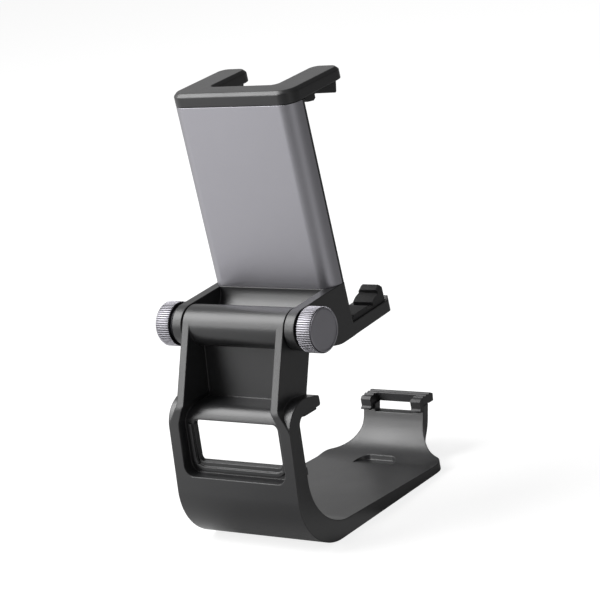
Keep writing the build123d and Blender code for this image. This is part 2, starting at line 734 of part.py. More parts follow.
# Soft pads of the jaws, drawn from the side: a low root pad, a notch and a hooked tip
for side_name, side in (("left", -1), ("right", 1)):
    pad_side = holder_side.offset(side * (half_width - prong_width + pad_inset))
    with BuildPart() as top_pad:
        with BuildSketch(pad_side):
            with BuildLine():
                notch = cover_front + top_notch_reach
                tip = cover_front + top_pad_reach
                under = jaw_bottom - pad_root_thickness
                Polyline(
                    (tip, jaw_bottom), (tip - pad_step, jaw_bottom - top_hook_drop),
                    (notch + pad_notch_width, under + pad_step),
                    (notch + pad_notch_width, jaw_bottom - pad_web),
                    (notch, jaw_bottom - pad_web), (notch, under),
                    (notch - pad_step, under - pad_step / 2),
                    (cover_front + 2 * pad_step, under), (cover_front + pad_step, jaw_bottom - pad_web),
                    (cover_front + pad_step, jaw_bottom), close=True,
                )
            make_face()
            rounded((tip - pad_step, jaw_bottom - top_hook_drop), pad_step / 2)
        extrude(amount=side * (prong_width - 2 * pad_inset))
    save(top_pad, f"{side_name}_top_pad")

    pad_inner = half_width - prong_width + lower_pad_inset
    with BuildPart() as lower_pad:
        with BuildSketch(holder_side.offset(side * pad_inner)):
            with BuildLine():
                root_start = cover_front + phone_pad_thickness
                root_end = cover_front + lower_root_reach
                hook = cover_front + lower_hook_reach
                hook_end = lower_prong_tip - lower_prong_end_width
                root_top = prong_top + pad_root_thickness
                Polyline(
                    (root_start, prong_top), (root_start, root_top - pad_step),
                    (root_start + pad_step, root_top), (root_end, root_top),
                    (root_end, prong_top + pad_web), (hook, prong_top + pad_web),
                    (hook, root_top), (hook + 0.4 * pad_step, root_top + pad_step),
                    (hook + 2.5 * pad_step, prong_top + 0.68 * lower_hook_rise),
                    (hook + 2.5 * pad_step, prong_top + 0.78 * lower_hook_rise),
                    (hook_end - 0.7 * pad_step, prong_top + lower_hook_rise),
                    (hook_end, prong_top + 0.9 * lower_hook_rise),
                    (hook_end, prong_top), close=True,
                )
            make_face()
        extrude(amount=side * (half_width - pad_inset - pad_inner))
    save(lower_pad, f"{side_name}_lower_pad")

# Extension springs between the foot's posts and the slide's posts
for side_name, side in (("left", -1), ("right", 1)):
    spring_x = side * spring_spacing / 2
    coil_bottom = spring_foot + hook_radius + spring_wire
    coil_top = spring_head - hook_radius - spring_wire
    with BuildPart() as spring:
        with BuildSketch(section_plane(coil_bottom)):
            with Locations((spring_x, spring_depth)):
                Circle(spring_diameter / 2)
        extrude(amount=coil_top - coil_bottom)
        # A hook at each end goes round a pin, and its root crosses the coil
        with BuildSketch(holder_side.offset(spring_x)):
            with Locations((spring_depth, spring_foot), (spring_depth, spring_head)):
                RegularPolygon(hook_radius + spring_wire / 2, loop_sides)
                RegularPolygon(
                    hook_radius - spring_wire / 2, loop_sides, mode=Mode.SUBTRACT
                )
            for root in (coil_bottom - spring_wire / 2, coil_top + spring_wire / 2):
                with Locations((spring_depth, root)):
                    Rectangle(spring_diameter - spring_wire, spring_wire)
        extrude(amount=spring_wire / 2, both=True)
    save(spring, f"{side_name}_spring")

# Hinge hardware at each end of the barrel, from the middle outwards
barrel_end_x = arm_width / 2
stud_inner = barrel_end_x - insert_length
washer_gap = (cheek_inner - barrel_end_x - friction_washer_thickness) / 2
knob_seat = half_width + pressure_washer_thickness
knob_face = knob_seat + knob_length
knob_radius = knob_diameter / 2
knob_root = knob_radius - knob_ridge_height
ridge_points = [
    Vector(knob_radius - (n % 2) * knob_ridge_height, 0).rotate(Axis.Z, n * 180 / knob_ridges)
    for n in range(2 * knob_ridges)
]
for side_name, side in (("left", -1), ("right", 1)):
    axis_plane = Plane((0, *hinge), x_dir=(0, side, 0), z_dir=(side, 0, 0))
    with BuildPart() as insert:
        with BuildSketch(axis_plane.offset(stud_inner)):
            Circle(insert_diameter / 2)
            Circle(stud_diameter / 2 + running_fit, mode=Mode.SUBTRACT)
        extrude(amount=insert_length)
    save(insert, f"{side_name}_insert")

    with BuildPart() as friction_washer:
        with BuildSketch(axis_plane.offset(barrel_end_x + washer_gap)):
            Circle(washer_diameter / 2)
            Circle(stud_diameter / 2 + running_fit, mode=Mode.SUBTRACT)
        extrude(amount=friction_washer_thickness)
    save(friction_washer, f"{side_name}_friction_washer")

    with BuildPart() as pressure_washer:
        with BuildSketch(axis_plane.offset(half_width)):
            Circle(washer_diameter / 2)
            Circle(stud_diameter / 2 + running_fit, mode=Mode.SUBTRACT)
        extrude(amount=pressure_washer_thickness)
    save(pressure_washer, f"{side_name}_pressure_washer")

    with BuildPart() as stud:
        with BuildSketch(axis_plane.offset(stud_inner)):
            Circle(stud_diameter / 2)
        extrude(amount=knob_seat + stud_seat_depth - stud_inner)
    save(stud, f"{side_name}_stud")

    # Knurled knob: a ridged band on a turned body with a bevelled rim and a dished face
    with BuildPart() as knob:
        with BuildSketch(Plane(axis_plane.origin, x_dir=(side, 0, 0), z_dir=(0, side, 0))):
            with BuildLine():
                Polyline(
                    (knob_seat, stud_diameter / 2), (knob_seat, knob_root),
                    (knob_face - knob_rim_bevel, knob_root), (knob_face, knob_root - knob_rim_bevel),
                    (knob_face, knob_root - knob_dish_rim),
                    (knob_face - knob_dish, knob_root - knob_dish_rim),
                    (knob_face - knob_dish, 0), (knob_seat + stud_seat_depth, 0),
                    (knob_seat + stud_seat_depth, stud_diameter / 2), close=True,
                )
            make_face()
        revolve(axis=Axis(axis_plane.origin, axis_plane.z_dir))
        with BuildSketch(axis_plane.offset(knob_seat)):
            with BuildLine():
                Polyline(ridge_points, close=True)
            make_face()
            Circle(knob_root - knob_dish_rim, mode=Mode.SUBTRACT)
        extrude(amount=knob_length - knob_rim_bevel)
    save(knob, f"{side_name}_knob")
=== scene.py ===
"""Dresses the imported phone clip: finishes for its nodes, modelled pieces and a small studio."""

import json
from math import atan2, pi, radians

import bmesh
import bpy
from mathutils import Matrix, Vector


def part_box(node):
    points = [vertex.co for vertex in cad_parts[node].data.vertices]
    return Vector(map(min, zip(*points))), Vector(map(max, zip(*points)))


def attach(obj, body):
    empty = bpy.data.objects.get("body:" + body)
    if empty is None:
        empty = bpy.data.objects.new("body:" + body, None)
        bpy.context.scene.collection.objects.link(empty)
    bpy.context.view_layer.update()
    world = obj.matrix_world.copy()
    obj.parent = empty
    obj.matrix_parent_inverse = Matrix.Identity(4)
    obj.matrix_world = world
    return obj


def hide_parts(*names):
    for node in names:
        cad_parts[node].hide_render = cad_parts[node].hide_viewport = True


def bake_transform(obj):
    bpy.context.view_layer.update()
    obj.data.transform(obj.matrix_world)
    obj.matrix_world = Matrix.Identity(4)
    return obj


bl_info = {
    "name": "Gamepad Phone Clip",
    "version": (1, 0, 0),
    "blender": (4, 5, 0),
    "location": "3D View > Sidebar > Phone Clip",
    "description": "Finishes the phone clip's pieces and sets up a studio around it",
    "category": "Object",
}

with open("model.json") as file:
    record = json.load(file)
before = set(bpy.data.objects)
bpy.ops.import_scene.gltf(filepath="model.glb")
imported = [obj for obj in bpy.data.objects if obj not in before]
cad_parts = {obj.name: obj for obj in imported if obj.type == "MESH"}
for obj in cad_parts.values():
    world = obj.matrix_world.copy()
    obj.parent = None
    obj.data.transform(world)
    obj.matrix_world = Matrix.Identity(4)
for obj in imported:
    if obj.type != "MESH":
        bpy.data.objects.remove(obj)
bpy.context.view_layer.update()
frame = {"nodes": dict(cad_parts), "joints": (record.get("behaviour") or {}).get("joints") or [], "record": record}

JOINTS = {joint["name"]: joint for joint in frame["joints"]}
HINGE = Vector(JOINTS["holder_tilt"]["pos_m"])
HOLDER_UP = Vector(JOINTS["jaw_slide"]["axis"])
SIDES = {"left": -1, "right": 1}
BODIES = {
    node: body for body, nodes in frame["record"]["behaviour"]["bodies"].items() for node in nodes
}
SLOTS = {part["node"]: part["material_slot"] for part in frame["record"]["subparts"]}
OPENINGS = {space["name"]: space["box_m"] for space in frame["record"]["physics"]["openings"]}


# Shader maths: a socket that takes part in Python expressions


class Value:
    """A shader's output socket; Python's arithmetic on it adds Math nodes."""

    def __init__(self, tree, socket):
        self.tree = tree
        self.socket = socket

    def maths(self, operation, *others):
        inputs = dict(enumerate((self, *others)))
        return self.tree.node("ShaderNodeMath", {"operation": operation}, inputs)[0]

    def __add__(self, other):
        return self.maths("ADD", other)

    def __sub__(self, other):
        return self.maths("SUBTRACT", other)

    def __mul__(self, other):
        return self.maths("MULTIPLY", other)

    def __pow__(self, other):
        return self.maths("POWER", other)

    def __rsub__(self, other):
        return self.tree.number(other).maths("SUBTRACT", self)

    __radd__ = __add__
    __rmul__ = __mul__

    def sine(self):
        return self.maths("SINE")

    def at_most(self, other):
        return self.maths("MINIMUM", other)

    def at_least(self, other):
        return self.maths("MAXIMUM", other)

    def ramp(self, low, high):
        """0 at low, 1 at high, eased between."""
        return self.tree.node(
            "ShaderNodeMapRange", {"interpolation_type": "SMOOTHSTEP"},
            {"Value": self, "From Min": low, "From Max": high},
        )["Result"]


class Outputs:
    """A node's outputs, each wrapped as a Value, by name or by number."""

    def __init__(self, tree, node):
        self.tree = tree
        self.node = node

    def __getitem__(self, key):
        return Value(self.tree, self.node.outputs[key])


class Tree:
    """A node tree that is being written."""

    def __init__(self, node_tree):
        self.node_tree = node_tree
        node_tree.nodes.clear()

    def node(self, kind, settings=None, inputs=None):
        """Add any node: its settings first, then the values or links of its sockets."""
        node = self.node_tree.nodes.new(kind)
        for name, setting in (settings or {}).items():
            setattr(node, name, setting)
        for key, value in (inputs or {}).items():
            if isinstance(value, Value):
                self.node_tree.links.new(value.socket, node.inputs[key])
            else:
                node.inputs[key].default_value = value
        return Outputs(self, node)

    def number(self, value):
        outputs = self.node("ShaderNodeValue")
        outputs.node.outputs[0].default_value = value
        return outputs[0]

    def mirrored_rays(self, path):
        """1 for the rays that metal and glass send on, from a Light Path node."""
        return (path["Is Glossy Ray"] + path["Is Transmission Ray"]).at_most(1.0)


class Finish(Tree):
    """A material: one Principled shader, fed by patterns in Object coordinates."""

    def __init__(self, name, colour, roughness, **constants):
        self.material = bpy.data.materials.new(name)
        self.material.use_nodes = True
        self.material.diffuse_color = (*colour, 1)
        super().__init__(self.material.node_tree)
        self.shader = self.node("ShaderNodeBsdfPrincipled", {}, {
            "Base Color": (*colour, 1), "Roughness": roughness, **constants,
        })
        self.node("ShaderNodeOutputMaterial", {}, {"Surface": self.shader["BSDF"]})
        self.place = self.node("ShaderNodeTexCoord")["Object"]

    def feed(self, socket, value):
        self.node_tree.links.new(value.socket, self.shader.node.inputs[socket])

    def around(self, centre, scale=(1, 1, 1)):
        """The surface's place measured from a centre and scaled."""
        moved = self.node(
            "ShaderNodeVectorMath", {"operation": "SUBTRACT"}, {0: self.place, 1: centre}
        )[0]
        return self.node("ShaderNodeMapping", {}, {"Vector": moved, "Scale": scale})[0]

    def noise(self, size, detail, vector=None):
        """Even noise whose features are about size metres across, from 0 to 1."""
        return self.node("ShaderNodeTexNoise", {}, {
            "Vector": vector or self.place, "Scale": 1 / size, "Detail": detail,
        })["Fac"]

    def vary_colour(self, colour, dark, light, amount):
        """Mix a darker and a lighter shade of a colour by an amount from 0 to 1."""
        mixed = self.node("ShaderNodeMix", {"data_type": "RGBA"}, {
            "Factor": amount, 6: (*shade(colour, dark), 1), 7: (*shade(colour, light), 1),
        })
        self.feed("Base Color", mixed[2])

    def bump(self, height, distance, strength, under=None):
        """Feed the normal from a Bump node over height, which is 1 at distance metres."""
        inputs = {"Height": height, "Distance": distance, "Strength": strength}
        if under is not None:
            inputs["Normal"] = under
        self.feed("Normal", self.node("ShaderNodeBump", {}, inputs)["Normal"])


def shade(colour, factor):
    return tuple(min(channel * factor, 1.0) for channel in colour)


# Finishes: the sizes of their patterns are in metres

EDGE_ROUNDING = 0.0004
MOULD_GRAIN = 0.00028
LATHE_PITCH = 0.00024


def moulded_plastic(name, colour, roughness):
    """Matt black moulding: fine spark-eroded grain, uneven gloss and softened edges."""
    finish = Finish(name, colour, roughness, **{"Specular IOR Level": 0.5})
    cloud = finish.noise(size=0.011, detail=2.0)
    fine = finish.noise(size=MOULD_GRAIN, detail=2.0)
    finish.vary_colour(colour, 0.86, 1.16, cloud * 0.6 + fine * 0.4)
    finish.feed("Roughness", (cloud - 0.5) * 0.10 + (fine - 0.5) * 0.12 + roughness)
    softened = finish.node("ShaderNodeBevel", {"samples": 8}, {"Radius": EDGE_ROUNDING})["Normal"]
    finish.bump(fine, distance=MOULD_GRAIN * 0.12, strength=0.5, under=softened)
    return finish.material


def blasted_aluminium(name, colour, roughness):
    """Bead-blasted and anodised aluminium."""
    finish = Finish(name, colour, roughness, Metallic=1.0)
    fine = finish.noise(size=0.00022, detail=2.0)
    cloud = finish.noise(size=0.016, detail=2.0)
    finish.vary_colour(colour, 0.93, 1.06, fine * 0.7 + cloud * 0.3)
    finish.feed("Roughness", (fine - 0.5) * 0.10 + (cloud - 0.5) * 0.06 + roughness)
    finish.bump(fine, distance=0.00002, strength=0.6)
    return finish.material


def turned_aluminium(name, colour, roughness):
    """Turned, anodised aluminium: rings round the hinge axis, and painted shade that darkens the grooves between
    the knurl's ridges.
    """
    finish = Finish(name, colour, roughness, Metallic=1.0)
    place = finish.node("ShaderNodeSeparateXYZ", {}, {0: finish.around(HINGE)})
    radius = (place["Y"] * place["Y"] + place["Z"] * place["Z"]) ** 0.5
    rings = (radius * (2 * pi / LATHE_PITCH)).sine() * 0.5 + 0.5
    fine = finish.noise(size=0.0003, detail=2.0)
    low, high = corners("right_knob")
    outer = (high.z - low.z) / 2
    # Painted shade in the knurl's grooves: the dished face and the ridges' tops keep their colour, and the colour
    # darkens 0.1 mm further in
    on_face = ((place["X"] * place["X"]) ** 0.5).ramp(high.x - 0.0003, high.x - 0.0002)
    on_ridge = radius.ramp(outer - 0.00022, outer - 0.00012)
    free_of_painted_shade = on_ridge.at_least(on_face)
    finish.vary_colour(colour, 0.3, 1.15, (rings * 0.12 + fine * 0.12 + 0.76) * free_of_painted_shade)
    finish.feed("Roughness", rings * 0.06 + (fine - 0.5) * 0.08 + roughness)
    finish.bump(rings, distance=0.00002, strength=0.5)
    return finish.material


def soft_rubber(name, colour, roughness):
    """Soft rubber with a dusty, matt grain."""
    finish = Finish(name, colour, roughness, **{"Specular IOR Level": 0.4})
    fine = finish.noise(size=0.0003, detail=3.0)
    cloud = finish.noise(size=0.006, detail=2.0)
    finish.vary_colour(colour, 0.8, 1.25, fine * 0.5 + cloud * 0.5)
    finish.feed("Roughness", (cloud - 0.5) * 0.14 + roughness)
    finish.bump(fine, distance=0.00004, strength=0.6)
    return finish.material


def bright_metal(name, colour, roughness):
    """Plated or plain metal of the small hardware, with fine scratches along X."""
    finish = Finish(name, colour, roughness, Metallic=1.0)
    stretched = finish.around((0, 0, 0), scale=(0.1, 1, 1))
    lines = finish.noise(size=0.0004, detail=2.0, vector=stretched)
    finish.vary_colour(colour, 0.85, 1.1, lines)
    finish.feed("Roughness", (lines - 0.5) * 0.16 + roughness)
    finish.bump(lines, distance=0.00002, strength=0.4)
    return finish.material


def pressed_fibre(name, colour, roughness):
    """Friction washers: pressed fibre with short flecks."""
    finish = Finish(name, colour, roughness)
    flecks = finish.noise(size=0.0006, detail=4.0)
    finish.vary_colour(colour, 0.7, 1.3, flecks)
    finish.bump(flecks, distance=0.00004, strength=0.5)
    return finish.material


# Sizes and colours that a user would change


class ClipFinishes(bpy.types.PropertyGroup):
    """Colours of the clip's finishes."""

    plastic: bpy.props.FloatVectorProperty(
        name="Plastic", description="Colour of the black mouldings", subtype="COLOR",
        size=3, min=0, max=1, default=(0.018, 0.018, 0.019),
    )
    rubber: bpy.props.FloatVectorProperty(
        name="Rubber", description="Colour of the soft pads", subtype="COLOR",
        size=3, min=0, max=1, default=(0.022, 0.022, 0.023),
    )
    shell: bpy.props.FloatVectorProperty(
        name="Shell", description="Colour of the anodised shell", subtype="COLOR",
        size=3, min=0, max=1, default=(0.32, 0.315, 0.34),
    )
    knob: bpy.props.FloatVectorProperty(
        name="Knob", description="Colour of the anodised knobs", subtype="COLOR",
        size=3, min=0, max=1, default=(0.265, 0.26, 0.282),
    )


class ClipEdges(bpy.types.PropertyGroup):
    """How far edges are rounded and faces moved on copies of the CAD nodes."""

    moulding: bpy.props.FloatProperty(
        name="Mouldings", description="Rounding of the edges of the black mouldings",
        unit="LENGTH", subtype="DISTANCE", precision=5, min=0, default=0.0003,
    )
    foot: bpy.props.FloatProperty(
        name="Foot", description="Rounding of the edges of the holder's foot",
        unit="LENGTH", subtype="DISTANCE", precision=5, min=0, default=0.0006,
    )
    cover: bpy.props.FloatProperty(
        name="Cover", description="Rounding of the edges of the front cover",
        unit="LENGTH", subtype="DISTANCE", precision=5, min=0, default=0.0002,
    )
    shell: bpy.props.FloatProperty(
        name="Shell", description="Rounding of the edges of the aluminium shell",
        unit="LENGTH", subtype="DISTANCE", precision=5, min=0, default=0.00012,
    )
    rubber: bpy.props.FloatProperty(
        name="Pads", description="Rounding of the edges of the soft pads",
        unit="LENGTH", subtype="DISTANCE", precision=5, min=0, default=0.00015,
    )
    prong_tip: bpy.props.FloatProperty(
        name="Prong tips", description="How far the tips of the lower jaw's prongs move forwards",
        unit="LENGTH", subtype="DISTANCE", precision=5, min=0, default=0.0016,
    )
    hook_dome: bpy.props.FloatProperty(
        name="Hook dome", description="Height of the domed top of the lower pads' hooks",
        unit="LENGTH", subtype="DISTANCE", precision=5, min=0, default=0.0005,
    )
    arm_wall: bpy.props.FloatProperty(
        name="Arm walls", description="How far the inner faces of the arm's walls move inwards",
        unit="LENGTH", subtype="DISTANCE", precision=5, min=0, default=0.0005,
    )
    window_side: bpy.props.FloatProperty(
        name="Window", description="How far each side of the cradle's window moves outwards",
        unit="LENGTH", subtype="DISTANCE", precision=5, min=0, default=0.0007,
    )


class ClipHardware(bpy.types.PropertyGroup):
    """Sizes of the knobs and the springs."""

    ridges: bpy.props.IntProperty(
        name="Ridges", description="Ridges round each knob", min=12, default=60,
    )
    ridge_height: bpy.props.FloatProperty(
        name="Ridge height", description="Height of the knurl's ridges",
        unit="LENGTH", subtype="DISTANCE", precision=5, min=0, default=0.0003,
    )
    rim: bpy.props.FloatProperty(
        name="Rim", description="Plain rim between the knurl and the dished face",
        unit="LENGTH", subtype="DISTANCE", precision=5, min=0, default=0.00045,
    )
    neck: bpy.props.FloatProperty(
        name="Neck", description="Length and depth of the neck beside each knob's seat",
        unit="LENGTH", subtype="DISTANCE", precision=5, min=0, default=0.0006,
    )
    dish: bpy.props.FloatProperty(
        name="Dish", description="Depth of the dish in each knob's face",
        unit="LENGTH", subtype="DISTANCE", precision=5, min=0, default=0.0002,
    )
    spring_wire: bpy.props.FloatProperty(
        name="Spring wire", description="Diameter of the springs' wire",
        unit="LENGTH", subtype="DISTANCE", precision=5, min=0, default=0.00035,
    )


class ClipStudio(bpy.types.PropertyGroup):
    """Camera and lights."""

    azimuth: bpy.props.FloatProperty(
        name="Azimuth", description="Direction the camera looks in, from +Y towards -X",
        subtype="ANGLE", default=radians(39.85),
    )
    elevation: bpy.props.FloatProperty(
        name="Elevation", description="Height of the camera above the horizon",
        subtype="ANGLE", default=radians(15.87),
    )
    roll: bpy.props.FloatProperty(
        name="Roll", description="Turn of the camera about its own axis",
        subtype="ANGLE", default=radians(10.86),
    )
    camera_place: bpy.props.FloatVectorProperty(
        name="Camera", description="Place of the camera", subtype="TRANSLATION", unit="LENGTH",
        size=3, default=(0.41085, -0.48995, 0.23968),
    )
    lens: bpy.props.FloatProperty(
        name="Lens", description="Focal length on a 36 mm sensor, in millimetres", default=147.0,
    )
    key_power: bpy.props.FloatProperty(
        name="Key", description="Power of the key light", unit="POWER", default=7.0,
    )
    side_power: bpy.props.FloatProperty(
        name="Side", description="Power of the low light on the left", unit="POWER", default=1.9,
    )
    floor: bpy.props.FloatProperty(
        name="Floor", description="Brightness that the camera sees in the floor, besides its light",
        default=0.8,
    )
    ambient: bpy.props.FloatProperty(
        name="Ambient", description="Strength of the world on the object", default=0.3,
    )


# Modelling tools

# How near to a surface a place counts as on it, in metres
NEAR = 1e-5
# A face looks along an axis when this much of its normal does, and across it below the second
ALONG = 0.9
ACROSS = 0.1


def alone(thing):
    """Select one object and make it the active one."""
    bpy.ops.object.select_all(action="DESELECT")
    thing.select_set(True)
    bpy.context.view_layer.objects.active = thing


def edit(thing):
    """Open a mesh in edit mode with all of it selected."""
    alone(thing)
    bpy.ops.object.mode_set(mode="EDIT")
    bpy.ops.mesh.select_all(action="SELECT")


def leave_edit():
    bpy.ops.object.mode_set(mode="OBJECT")


def pick(faces=None, edges=None, vertices=None):
    """Select the open mesh's faces, edges or vertices that pass a test, and nothing else."""
    data = bpy.context.object.data
    mesh = bmesh.from_edit_mesh(data)
    bpy.ops.mesh.select_all(action="DESELECT")
    if faces:
        mode, elements, test = "FACE", mesh.faces, faces
    elif edges:
        mode, elements, test = "EDGE", mesh.edges, edges
    else:
        mode, elements, test = "VERT", mesh.verts, vertices
    bpy.ops.mesh.select_mode(type=mode)
    mesh.normal_update()
    for element in elements:
        element.select_set(test(element))
    mesh.select_flush_mode()
    bmesh.update_edit_mesh(data)


def push(**along):
    """Move what is selected along x, y or z."""
    bpy.ops.transform.translate(value=[along.get(axis, 0) for axis in "xyz"])


def extrude(**along):
    """Extrude the selected faces along x, y or z."""
    bpy.ops.mesh.extrude_region_move(
        TRANSFORM_OT_translate={"value": [along.get(axis, 0) for axis in "xyz"]}
    )


def place_in_mesh():
    """Put the selected object's place, turn and scale into its mesh."""
    bpy.ops.object.transform_apply(location=True, rotation=True, scale=True)


def apply_modifier(thing, kind, **settings):
    """Add a modifier with its settings and apply it."""
    alone(thing)
    modifier = thing.modifiers.new(kind.lower(), kind)
    for name, setting in settings.items():
        setattr(modifier, name, setting)
    bpy.ops.object.modifier_apply(modifier=modifier.name)


def settle(piece, name, rides=True):
    """Let a finished piece stand for its CAD node, on its body and with its finish."""
    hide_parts(name)
    if rides:
        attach(piece, BODIES[name])
    piece.data.materials.clear()
    piece.data.materials.append(frame["nodes"][name].data.materials[0])


def corners(name):
    """The lowest and the highest corner of a CAD node's box."""
    return (Vector(corner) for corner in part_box(name))


# Moulded and soft pieces: copies of the CAD nodes with rounded edges


def round_edges(name, width, segments=2, sharpest=30, shape=None, clamp=False):
    """Copy a CAD node, merge its triangles into faces and round its edges as the mould leaves them.

    shape changes the copy before it is rounded. clamp narrows the rounding to what the smallest
    face beside an edge allows.
    """
    piece = bpy.data.objects.new(f"{name}_rounded", frame["nodes"][name].data.copy())
    bpy.context.scene.collection.objects.link(piece)
    edit(piece)
    bpy.ops.mesh.remove_doubles(threshold=0.00002)
    bpy.ops.mesh.dissolve_limited(angle_limit=radians(0.4))
    if shape:
        shape()
    leave_edit()
    apply_modifier(
        piece, "BEVEL", width=width, segments=segments, limit_method="ANGLE",
        angle_limit=radians(sharpest), use_clamp_overlap=clamp, offset_type="WIDTH",
        miter_outer="MITER_ARC",
    )
    bpy.ops.object.shade_smooth()
    apply_modifier(piece, "WEIGHTED_NORMAL", keep_sharp=True)
    settle(piece, name)


# The window's sides lie between these shares of its opening's half width, and reach this share
# of its height up and down from the middle
WINDOW_SIDE = (0.88, 1.06)
WINDOW_REACH = 0.6


def widen_window(distance):
    """Move the two sides of the cradle's window outwards, with their corners."""
    low, high = (Vector(corner) for corner in OPENINGS["hook_window"])
    middle = (low.z + high.z) / 2
    reach = (high.z - low.z) * WINDOW_REACH
    for side in SIDES.values():

        def at_side(v):
            across = WINDOW_SIDE[0] < v.co.x * side / high.x < WINDOW_SIDE[1]
            return across and low.y < v.co.y < high.y and abs(v.co.z - middle) < reach

        pick(vertices=at_side)
        push(x=side * distance)


# How far out the inner faces of the arm's walls lie, and where they end at the front
ARM_INNER = (0.0153, 0.0162)
ARM_FRONT = -0.022
# Heights of the arm from its top to below its bend, with the share of the move made there
ARM_BANDS = ((0.0398, 0.062, 1), (0.039, 0.0398, 0.7), (0.038, 0.039, 0.35))


def thicken_arm(distance):
    """Move the inner faces of the arm's walls inwards, less and less below the bend."""
    for side in SIDES.values():
        for bottom, top, share in ARM_BANDS:

            def on_wall(v):
                across = ARM_INNER[0] < v.co.x * side < ARM_INNER[1]
                return across and bottom < v.co.z < top and v.co.y < ARM_FRONT

            pick(vertices=on_wall)
            push(x=-side * distance * share)


# Depth of the moved part of the foot's prongs, and how far out the prongs start
PRONG_DEPTH = 0.0035
PRONG_INNER = 0.01


def lengthen_prongs(distance):
    """Move the tips of the lower jaw's prongs forwards."""
    _, high = corners("holder_foot")
    pick(vertices=lambda v: v.co.y > high.y - PRONG_DEPTH and abs(v.co.x) > PRONG_INNER)
    push(y=distance)


# Share of a lower pad's depth where its hook starts, and share of the prong's move it makes
HOOK_START = 0.69
HOOK_SHARE = 0.6
# How far down the faces of the hook's top lie, and how much of their normals points up
HOOK_TOP = 0.0008
HOOK_UPWARD = 0.6
# Width of the dome as a share of the hook's
DOME_WIDTH = 0.78


def dome_hook(prong_tip, height):
    """Move a lower pad's hook forwards with its prong and give it a domed top."""
    low, high = corners("right_lower_pad")
    start = low.y + (high.y - low.y) * HOOK_START
    pick(vertices=lambda v: v.co.y > start)
    push(y=prong_tip * HOOK_SHARE)
    top = high.z - HOOK_TOP
    pick(faces=lambda f: f.normal.z > HOOK_UPWARD and f.calc_center_median().z > top)
    extrude(z=height)
    bpy.ops.transform.resize(value=(DOME_WIDTH, 1, 1))


# Knobs: a ridge of the knurl takes five columns of the knob's side, three of them proud

RIDGE_COLUMNS = 5
PROUD_COLUMNS = 3
# How far edges are broken, as shares of the rim's width and of the ridges' height
RIM_BREAK = 0.6
RIDGE_BREAK = 0.3
# Ridges' edges sharper than the first are broken, and edges sharper than the second look sharp
RIDGE_SHARP = radians(40)
LOOKS_SHARP = radians(38)


def from_hinge(place):
    """How far a place lies from the hinge axis."""
    return Vector((0, place.y - HINGE.y, place.z - HINGE.z)).length


def turned_knob(name, side, sizes):
    """Turn a knob, dish its face, break its rim and raise the knurl's ridges."""
    low, high = corners(name)
    outer = (high.z - low.z) / 2
    root = outer - sizes.ridge_height
    face = high.x if side > 0 else low.x
    length = high.x - low.x - sizes.neck
    columns = RIDGE_COLUMNS * sizes.ridges
    bpy.ops.object.select_all(action="DESELECT")
    bpy.ops.mesh.primitive_cylinder_add(
        vertices=columns, radius=root, depth=length, rotation=(0, pi / 2, 0),
        location=(face - side * length / 2, HINGE.y, HINGE.z),
    )
    knob = bpy.context.object
    knob.name = f"{name}_knurled"
    place_in_mesh()
    edit(knob)
    band_end = face - side * sizes.rim
    bpy.ops.mesh.bisect(plane_co=(band_end, 0, 0), plane_no=(1, 0, 0))

    # Dished face
    pick(faces=lambda f: f.normal.x * side > ALONG)
    bpy.ops.mesh.inset(thickness=sizes.rim)
    bpy.ops.mesh.inset(thickness=sizes.dish / 2)
    push(x=-side * sizes.dish)

    # Neck beside the seat
    pick(faces=lambda f: f.normal.x * side < -ALONG)
    bpy.ops.mesh.inset(thickness=sizes.neck)
    extrude(x=-side * sizes.neck)

    # Rim
    pick(edges=lambda e: all(
        abs(v.co.x - face) < NEAR and from_hinge(v.co) > root - NEAR for v in e.verts
    ))
    bpy.ops.mesh.bevel(offset=sizes.rim * RIM_BREAK, segments=2, affect="EDGES")

    # Knurl, with its ridges' edges broken
    def on_ridge(f):
        middle = f.calc_center_median()
        turn = atan2(middle.z - HINGE.z, middle.y - HINGE.y) % (2 * pi)
        column = int(turn / (2 * pi / columns))
        in_band = (band_end - middle.x) * side > 0 and abs(f.normal.x) < ACROSS
        return (
            in_band and from_hinge(middle) > root - NEAR and column % RIDGE_COLUMNS < PROUD_COLUMNS
        )

    pick(faces=on_ridge)
    bpy.ops.mesh.extrude_region_shrink_fatten(
        TRANSFORM_OT_shrink_fatten={"value": sizes.ridge_height}
    )
    pick(edges=lambda e: e.calc_face_angle(0) > RIDGE_SHARP and all(
        from_hinge(v.co) > outer - 2 * NEAR for v in e.verts
    ))
    bpy.ops.mesh.bevel(offset=sizes.ridge_height * RIDGE_BREAK, segments=2, affect="EDGES")
    leave_edit()
    bpy.ops.object.shade_smooth_by_angle(angle=LOOKS_SHARP)
    settle(knob, name)


# Springs

# Radius of an end loop as a share of the coil's
LOOP_RADIUS = 0.87
# From one turn of the coil to the next, in diameters of the wire
COIL_PITCH = 1.35
WIRE_SIDES = 6


